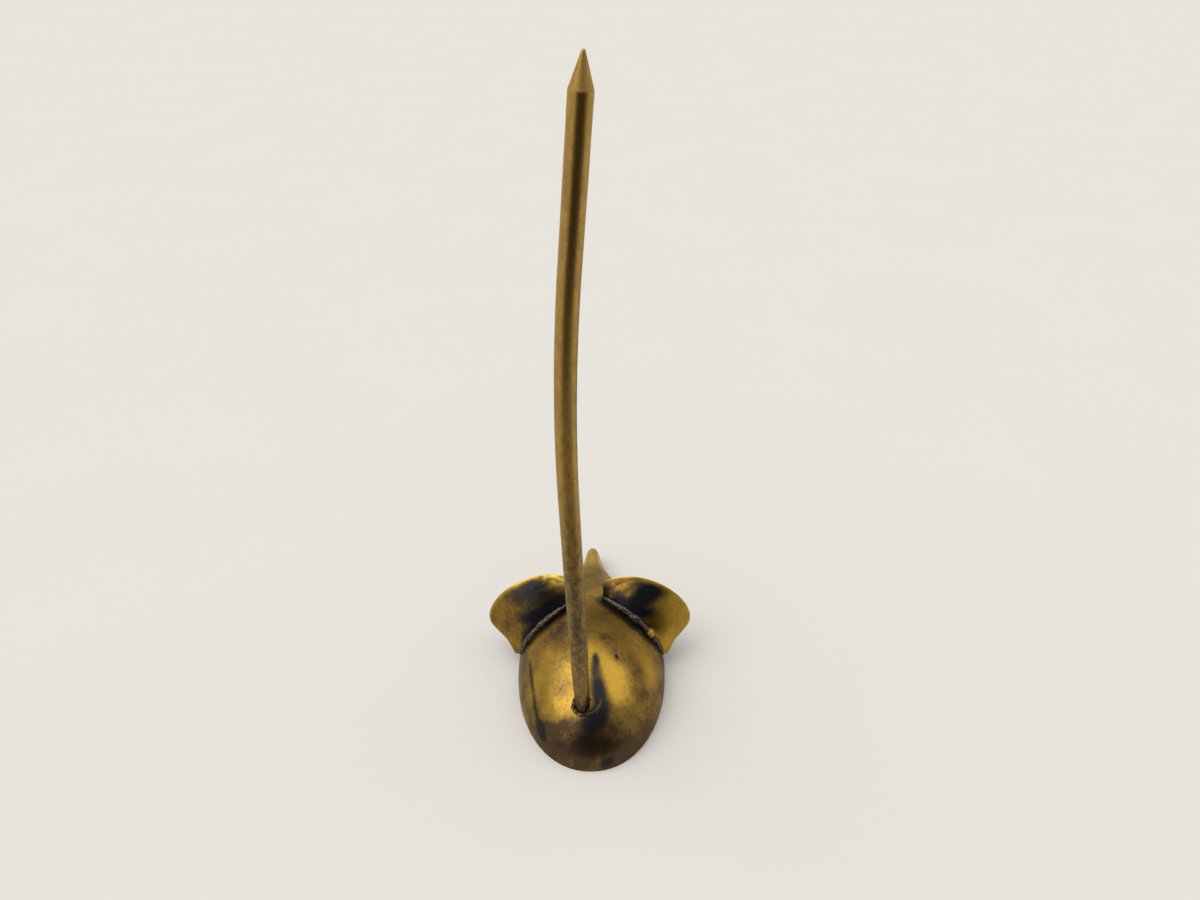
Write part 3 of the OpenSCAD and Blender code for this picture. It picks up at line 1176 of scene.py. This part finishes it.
@dataclass
class TailSpike(Piece):
    """The rod: filed thin at its root, slightly bowed, with a conical point."""

    name = "tail_spike"
    slot = Slot.SPIKE
    crease = 60.0
    root: Vector
    diameter: float = 4.0
    root_diameter: float = 3.3
    neck_diameter: float = 3.66
    height: float = 143.3
    lean: float = 2.1
    bend: float = 6.6
    lower: float = 53.7
    bend_radius: float = 400.0
    point_length: float = 5.5
    point_diameter: float = 0.5
    point_rings: int = 12
    point_gap: float = 0.3
    tip_share: float = 0.5
    shoulder_gap: float = 0.25
    ring_gap: float = 0.08
    below: float = 3.6
    above: float = 2.4
    neck: float = 9.0
    taper: float = 38.0
    step: float = 1.0
    sides: int = 64
    waves: Lumps = Lumps(0.02, 6.0, 1.3)
    bands: Lumps = Lumps(0.5, 16.0, 2.0)
    band: float = 0.12
    browns: Pair = (0.72, 0.08)
    clearing: Rise = Rise(1.0, 28.0, 80.0)
    root_brown: float = 0.62
    root_end: Rise = Rise(1.0, 16.0, 36.0)
    root_stain: Rise = Rise(0.7, 6.0, 0.5)

    def middle(self, t: float) -> Vector:
        """Find a point of the middle line, in the plane of the bow.

        Args:
            t: Length above the root.

        Returns:
            The point.
        """
        arc = self.bend_radius * math.radians(self.bend)
        turn = math.radians(min(self.bend, max(0.0, (t - self.lower) / arc * self.bend)))
        x = self.bend_radius * (1.0 - math.cos(turn))
        z = min(t, self.lower) + self.bend_radius * math.sin(turn)
        past = max(0.0, t - self.lower - arc)
        local = Vector((x + past * math.sin(turn), 0.0, z + past * math.cos(turn)))
        return self.root + Matrix.Rotation(math.radians(-self.lean), 3, "Y") @ local

    def length(self) -> float:
        """Return the length of the rod above its root, which brings the point to its height."""
        start = self.lower + self.bend_radius * math.radians(self.bend)
        return start + (self.height - self.middle(start).z) / math.cos(math.radians(self.bend - self.lean))

    def radius(self, t: float, length: float) -> float:
        """Work out the rod's radius.

        Args:
            t: Length above the root.
            length: Whole length above the root.

        Returns:
            The radius there.
        """
        if t > length - self.point_length:
            return 0.5 * lerp(self.point_diameter, self.diameter, (length - t) / self.point_length)
        rule = ((-self.below, self.root_diameter), (self.above, self.root_diameter),
                (self.neck, self.neck_diameter), (self.taper, self.diameter), (length, self.diameter))
        for (low, thin), (high, thick) in zip(rule, rule[1:]):
            if t <= high:
                return 0.5 * lerp(thin, thick, max(0.0, (t - low) / (high - low)))
        return 0.5 * self.diameter

    def rings(self, length: float) -> list[float]:
        """Place the rod's rings, close together at the shoulder of the point.

        Args:
            length: Whole length above the root.

        Returns:
            The length above the root of each ring.
        """
        cone = length - self.point_length
        count = int((cone + self.below) / self.step)
        rod = [lerp(-self.below, cone - self.shoulder_gap, i / count) for i in range(count + 1)]
        point = [lerp(cone + self.point_gap, length - self.ring_gap, i / self.point_rings)
                 for i in range(self.point_rings + 1)]
        return rod + [cone - self.ring_gap, cone + self.ring_gap] + point + [length]

    def tarnish(self, place: Vector) -> float:
        """Spread the brown tarnish, which is strongest low on the rod, in soft bands, and less at its root.

        Args:
            place: Point in millimetres.

        Returns:
            The tarnish at that point.
        """
        band = NOISE_MIDDLE + self.bands.at(Vector((0.0, 0.0, place.z)))
        root = lerp(self.root_brown, 1.0, self.root_end.at(place.z))
        return root * lerp(*self.browns, self.clearing.at(place.z)) + self.band * band

    def stain_and_shade(self, place: Vector) -> float:
        """Return the dark oxide at a point, which gathers at the root."""
        return self.root_stain.at(place.z - self.root.z)

    def marks(self) -> dict[str, Mark]:
        """Return the rules of the marks."""
        return {"tarnish": self.tarnish, "stain_and_shade": self.stain_and_shade}

    def shape(self, bm: Mesh) -> None:
        """Sweep the rod along its bow and make it slightly uneven.

        Args:
            bm: Empty mesh, which receives the piece.
        """
        length = self.length()
        places = self.rings(length)
        radii = [self.radius(t, length) for t in places]
        radii[-1] *= self.tip_share
        sweep(bm, [self.middle(t) for t in places], radii, self.sides, Vector((0.0, 1.0, 0.0)))
        for vert in bm.verts:
            vert.co += vert.normal * self.waves.at(vert.co)


@dataclass
class RootSolder(SolderPiece):
    """The rough ring of solder at the root of the spike, with the raised lip on its right."""

    name = "spike_solder"
    form: BodyForm
    root: Vector
    station: float
    rod_radius: float = 1.65
    radius: float = 0.7
    ring_off: float = 0.4
    ring_span: Pair = (20.0, 330.0)
    fullness: float = 0.68
    lumps: Lumps = Lumps(0.45, 1.3, 4.0)
    knobs: Lumps = Lumps(0.18, 0.6, 14.0)
    grit: Lumps = Lumps(0.06, 0.35, 17.0)
    ends: Pair = (0.15, 0.35)
    lip_span: Pair = (-75.0, 12.0)
    lip_drift: float = 2.2
    lip_rise: float = 0.5
    lip_share: float = 0.85
    lip_edge: Rise = Rise(0.1, 0.9, 1.6)
    crumbs: Pair = (-3.0, 7.9)
    crumb_reach: float = 1.3
    crumb_grain: Lumps = Lumps(1.0, 0.35, 9.0)
    glint: Rise = Rise(0.9, 0.05, 0.3)
    steps: int = 90
    sides: int = 20
    sink: float = 0.8

    def bright(self, place: Vector) -> float:
        """Show bare brass in glints on the crumbs left of the rod, and faintly on the lip.

        Args:
            place: Point in millimetres.

        Returns:
            The share of bare brass at that point.
        """
        near = bump((place - self.form.on_back(*self.crumbs)).length, self.crumb_reach)
        lip = self.lip_edge.at(place.x - self.root.x - self.rod_radius)
        return max(near * self.glint.at(self.crumb_grain.at(place)), lip)

    def around(self, span: Pair, drift: float, rise: float) -> list[Vector]:
        """Return a path on the back around the root.

        Args:
            span: Angles of its ends, in degrees from the right.
            drift: How far it moves off the rod.
            rise: How far it rises off the back.

        Returns:
            The points of the path.
        """
        found = []
        for i in range(self.steps + 1):
            t = i / self.steps
            turn = math.radians(lerp(*span, t))
            out = self.rod_radius + self.ring_off * self.radius + drift * t
            on_back = self.form.on_back(self.root.x + out * math.cos(turn),
                                        self.station + out * math.sin(turn))
            found.append(on_back + Vector((0.0, 0.0, rise * t)))
        return found

    def shape(self, bm: Mesh) -> None:
        """Lay the lumpy ring and the lip around the rod and seat them in the back.

        Args:
            bm: Empty mesh, which receives the piece.
        """
        up = Vector((0.0, 0.0, 1.0))
        fill = [self.radius * bead_end(i / self.steps, *self.ends) for i in range(self.steps + 1)]
        ring = self.around(self.ring_span, 0.0, 0.0)
        full = [self.fullness + self.lumps.at(place) for place in ring]
        sweep(bm, ring, [a * b for a, b in zip(fill, full)], self.sides, up)
        roughen(bm, self.knobs)
        lip = self.around(self.lip_span, self.lip_drift, self.lip_rise)
        sweep(bm, lip, [self.lip_share * a for a in fill], self.sides, up)
        roughen(bm, self.grit)
        for vert in bm.verts:
            vert.co = self.form.seated(vert.co, self.sink)
        bmesh.ops.recalc_face_normals(bm, faces=bm.faces[:])


@dataclass
class InnerSolder(SolderPiece):
    """The blob of solder that holds the rod's end under the shell."""

    name = "spike_solder_inside"
    form: BodyForm
    root: Vector
    radius: float = 4.0
    drop: float = 1.5
    detail: int = 5
    knobs: Lumps = Lumps(0.25, 2.2, 31.0)
    grit: Lumps = Lumps(0.08, 0.7, 33.0)
    bite: float = 0.1

    def marks(self) -> dict[str, Mark]:
        """Return no marks, because nothing of the blob is bare."""
        return {}

    def shape(self, bm: Mesh) -> None:
        """Roughen a ball and press it against the shell from below.

        Args:
            bm: Empty mesh, which receives the piece.
        """
        place = Matrix.Translation(self.root - Vector((0.0, 0.0, self.drop)))
        bmesh.ops.create_icosphere(bm, subdivisions=self.detail, radius=self.radius, matrix=place)
        roughen(bm, self.knobs)
        roughen(bm, self.grit)
        for vert in bm.verts:
            wide, high = self.form.section(vert.co.y + self.form.length / 2, self.form.wall)
            roof = high * math.sqrt(max(0.0, 1.0 - (vert.co.x / wide) ** 2)) + self.bite
            vert.co.z = min(vert.co.z, roof)
        bmesh.ops.recalc_face_normals(bm, faces=bm.faces[:])


# The studio


@dataclass(frozen=True)
class Card:
    """A dim card in metres that only reflections see, whose left and right side turn pale over its fades."""

    name: str
    size: Pair
    place: Triple
    glow: RGB
    fades: Pair
    turn: float = 0.0

    def matrix(self) -> Matrix:
        """Return where the card lies or stands."""
        return Matrix.Translation(self.place) @ Matrix.Rotation(self.turn, 4, "X")

    def material(self, rim: RGB) -> Material:
        """Build the material.

        Args:
            rim: Colour of the card's pale sides.

        Returns:
            A glow that is dim in the middle.
        """
        made, graph = new_material(self.name)
        across = graph.add("SeparateXYZ", {0: graph.add("TexCoord").outputs["Object"]}).outputs["X"]
        middle = self.matrix().translation.x
        left, right = middle - 0.5 * self.size[0], middle + 0.5 * self.size[0]
        within = graph.math("MULTIPLY", graph.ramp(across, left, left + self.fades[0]),
                            graph.ramp(across, right, right - self.fades[1]))
        light = graph.add("Emission", {"Color": graph.mix(within, rim, self.glow), "Strength": 1.0})
        graph.add("OutputMaterial", {"Surface": light.outputs[0]})
        return made


DARK = (0.03, 0.021, 0.026)
CARDS = (
    Card("card_upright", (1.08, 0.22), (0.23, -0.32, 0.11), DARK, (0.2, 0.6), math.pi / 2),
    Card("card_far", (1.08, 0.13), (0.23, -0.255, 0.001), DARK, (0.2, 0.6)),
    Card("card_near", (0.34, 0.13), (0.05, -0.125, 0.001), (0.36, 0.345, 0.32), (0.1, 0.14)),
    Card("card_front", (0.36, 0.44), (0.02, 0.28, 0.001), (0.2, 0.19, 0.175), (0.14, 0.14)),
)


@dataclass
class Studio:
    """The table, the light and the camera."""

    table: RGB = (0.722, 0.71, 0.684)
    table_radius: float = 4.0
    table_sides: int = 96
    table_shade: float = 0.985
    table_grain: float = 60.0
    table_roughness: float = 0.9
    ceiling: RGB = (1.34, 1.325, 1.29)
    ceiling_front: Pair = (0.58, 0.4)
    ceiling_back: Pair = (-0.42, -0.22)
    front: RGB = (0.34, 0.335, 0.325)
    back: RGB = (0.27, 0.265, 0.26)
    front_span: Pair = (-0.2, 0.2)
    horizon: RGB = (0.84, 0.82, 0.78)
    horizon_span: Pair = (0.3, 0.54)
    right_horizon: RGB = (0.66, 0.645, 0.615)
    right_span: Pair = (0.1, 0.95)
    left_lift: float = 0.2
    left_span: Pair = (0.05, -0.35)
    least_square: float = 1e-4
    card_rim: RGB = (0.72, 0.705, 0.67)
    sun_strength: float = 1.15
    sun_angle: float = 55.0
    sun_colour: RGB = (1.0, 0.97, 0.91)
    sun_way: Triple = (0.55, 0.1, -0.85)
    camera_place: Triple = (2.04, -165.1, 162.5)
    camera_pitch: float = 32.0
    lens: float = 27.0
    sensor: float = 36.0
    clip_start: float = 0.01

    @staticmethod
    def placed(bm: Mesh, name: str, material: Material) -> bpy.types.Object:
        """Turn a mesh in metres into an object.

        Args:
            bm: Mesh, which is freed.
            name: Name of the object.
            material: Its material.

        Returns:
            The new object.
        """
        mesh = bpy.data.meshes.new(name)
        bm.to_mesh(mesh)
        bm.free()
        mesh.materials.append(material)
        made = bpy.data.objects.new(name, mesh)
        bpy.context.scene.collection.objects.link(made)
        return made

    def floor(self) -> None:
        """Add the pale table top."""
        bm = bmesh.new()
        bmesh.ops.create_circle(bm, cap_ends=True, segments=self.table_sides, radius=self.table_radius)
        made, graph = new_material("pale_table")
        cloud = graph.noise(graph.add("TexCoord").outputs["Object"], self.table_grain, detail=2.0)
        shade = tuple(self.table_shade * part for part in self.table)
        shader = graph.add("BsdfPrincipled", {
            "Base Color": graph.mix(cloud, shade, self.table), "Roughness": self.table_roughness,
            "Specular IOR Level": 0.0})
        graph.add("OutputMaterial", {"Surface": shader.outputs[0]})
        table = self.placed(bm, "table", made)

    def cards(self) -> None:
        """Add the cards, which show in reflections alone."""
        for rule in CARDS:
            bm = bmesh.new()
            bmesh.ops.create_grid(bm, x_segments=1, y_segments=1, size=0.5)
            bmesh.ops.scale(bm, vec=(*rule.size, 1.0), verts=bm.verts[:])
            bmesh.ops.transform(bm, matrix=rule.matrix(), verts=bm.verts[:])
            card = self.placed(bm, rule.name, rule.material(self.card_rim))
            card.visible_camera = False
            card.visible_diffuse = False
            card.visible_shadow = False
            card.visible_transmission = False

    def sky(self) -> None:
        """Set the soft light: a bright ceiling from side to side, pale at the horizon, duller between."""
        world = bpy.data.worlds.new("soft_light")
        bpy.context.scene.world = world
        world.use_nodes = True
        graph = Graph(world.node_tree)
        parts = graph.add("SeparateXYZ", {0: graph.add("TexCoord").outputs["Generated"]})
        across, ahead, up = parts.outputs["X"], parts.outputs["Y"], parts.outputs["Z"]
        square = graph.math("ADD", graph.math("MULTIPLY", ahead, ahead), graph.math("MULTIPLY", up, up))
        reach = graph.math("SQRT", graph.math("MAXIMUM", square, self.least_square))
        lean = graph.math("DIVIDE", ahead, reach)
        sides = graph.mix(graph.ramp(lean, *self.front_span), self.back, self.front)
        band = graph.math("MULTIPLY", graph.ramp(lean, *self.ceiling_front),
                          graph.ramp(lean, *self.ceiling_back))
        high = graph.mix(band, sides, self.ceiling)
        low = graph.math("SUBTRACT", up, graph.ramp(across, *self.left_span, 0.0, self.left_lift))
        rim = graph.mix(graph.ramp(across, *self.right_span), self.horizon, self.right_horizon)
        light = graph.mix(graph.ramp(low, *self.horizon_span), rim, high)
        glow = graph.add("Background", {"Color": light, "Strength": 1.0})
        graph.add("OutputWorld", {"Surface": glow.outputs[0]})

    def lamps(self) -> None:
        """Add one broad soft lamp from the upper left."""
        lamp = bpy.data.lights.new("soft_sun", "SUN")
        lamp.energy = self.sun_strength
        lamp.angle = math.radians(self.sun_angle)
        lamp.color = self.sun_colour
        sun = bpy.data.objects.new("soft_sun", lamp)
        sun.rotation_euler = Vector(self.sun_way).to_track_quat("-Z", "Y").to_euler()
        bpy.context.scene.collection.objects.link(sun)

    def camera(self) -> None:
        """Add the camera, behind and above the mouse."""
        data = bpy.data.cameras.new("camera")
        data.sensor_fit = "HORIZONTAL"
        data.sensor_width = self.sensor
        data.lens = self.lens
        data.clip_start = self.clip_start
        camera = bpy.data.objects.new("camera", data)
        camera.location = Vector(self.camera_place) * MM
        camera.rotation_euler = (math.radians(90.0 - self.camera_pitch), 0.0, 0.0)
        bpy.context.scene.collection.objects.link(camera)
        bpy.context.scene.camera = camera

    def build(self) -> None:
        """Set up the whole studio."""
        bpy.context.scene.view_settings.view_transform = "Standard"
        self.floor()
        self.cards()
        self.sky()
        self.lamps()
        self.camera()


# The choices for this mouse

# The third colour of each brass is its dark: oxide, and on the body and ears also painted shade and painted
# dark reflections.
BODY_BRASS = BrassFinish(
    "body_brass", (0.46, 0.278, 0.034), (0.084, 0.052, 0.027), (0.02, 0.021, 0.023), 0.22)
EAR_BRASS = BrassFinish(
    "ear_brass", (0.42, 0.255, 0.028), (0.125, 0.069, 0.022), (0.019, 0.021, 0.026), 0.22)
SPIKE_BRASS = BrassFinish(
    "spike_brass", (0.45, 0.272, 0.06), (0.108, 0.075, 0.032), (0.03, 0.024, 0.018), 0.31, mottle=0.4,
    mottle_grain=0.9, speck_grain=0.28, speck=0.55, line_stretch=0.5, film=0.26, fleck=0.06)
OLD_SOLDER = SolderFinish("old_solder")
BURNT_SOLDER = SolderFinish("burnt_solder", (0.08, 0.058, 0.036), (0.014, 0.012, 0.011))

ROOT_PLACE = (-1.8, 8.7)
EAR_SHARES = {Side.RIGHT: 0.95, Side.LEFT: 1.03}
SEAM_POINTS = 19
SEAM_STEP = 0.05
# The ears' stain patches are painted dark reflections; the left ear's bright patch at its top is a painted
# highlight.
INNER_TOP = Patch((-0.2, 0.07), (-0.4, 0.42), 0.8, 0.05, 0.25)
EAR_MARKS = {
    Side.RIGHT: EarMarks(
        stains_and_shade=(Patch((0.05, 0.37), (-0.4, 0.45), 1.0, 0.08, 0.22), INNER_TOP,
                Patch((0.15, 0.28), (-0.4, 0.93), 1.0, 0.05, 0.12),
                Patch((-0.2, 0.035), (0.1, 0.7), 0.9, 0.04),
                Patch((0.6, 0.8), (-0.4, 0.2), 0.7, 0.06, 0.14)),
        browns=(Patch((0.1, 0.38), (-0.4, 0.6), 0.7, 0.1, 0.35),
                Patch((0.3, 0.7), (0.1, 1.2), 0.16, 0.1, 0.2),
                Patch((-0.2, 0.06), (0.0, 1.2), 0.75, 0.04, 0.2),
                Patch((0.0, 0.16), (0.2, 1.2), 0.8, 0.05, 0.2)),
        painted_highlights=(), beaten=(0.06, 0.7), fleck=0.54),
    Side.LEFT: EarMarks(
        stains_and_shade=(Patch((0.05, 0.45), (-0.4, 0.45), 1.0, 0.08, 0.22), INNER_TOP,
                Patch((0.12, 0.32), (0.3, 0.97), 0.78, 0.07, 0.1),
                Patch((0.38, 0.76), (-0.4, 0.28), 0.9, 0.08, 0.16)),
        browns=(Patch((0.12, 0.5), (-0.4, 0.75), 0.8, 0.12, 0.3),
                Patch((0.3, 0.75), (0.1, 1.2), 0.62, 0.1, 0.2),
                Patch((0.25, 0.42), (0.5, 1.3), 0.6, 0.05, 0.2),
                Patch((0.62, 1.0), (-0.4, 1.3), 0.6, 0.1, 0.2)),
        painted_highlights=(Patch((0.01, 0.12), (0.66, 1.1), 1.0, 0.04, 0.12),), beaten=(0.1, 0.85), fleck=None),
}


def main() -> None:
    """Build the mouse and the studio, and report each piece."""
    logging.basicConfig(level=logging.INFO, format="%(name)s: %(message)s")
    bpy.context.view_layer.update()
    form = BodyForm()
    root = form.on_back(*ROOT_PLACE)
    ears = {side: EarForm(form, share) for side, share in EAR_SHARES.items()}
    seam = [ears[Side.RIGHT].seam(SEAM_STEP * i) for i in range(SEAM_POINTS)]
    solder = OLD_SOLDER.material()
    ear_metal = EAR_BRASS.material()
    BodyShell(form, seam).build(BODY_BRASS.material())
    for side, ear in ears.items():
        word, spots = side.name.lower(), EAR_MARKS[side]
        Ear("ear_" + word, side, ear, spots).build(ear_metal)
        EarSolder("ear_solder_" + word, side, ear, spots.fleck).build(solder)
    TailSpike(root).build(SPIKE_BRASS.material())
    RootSolder(form, root, ROOT_PLACE[1]).build(BURNT_SOLDER.material())
    InnerSolder(form, root).build(solder)
    Studio().build()


if __name__ == "__main__":
    main()
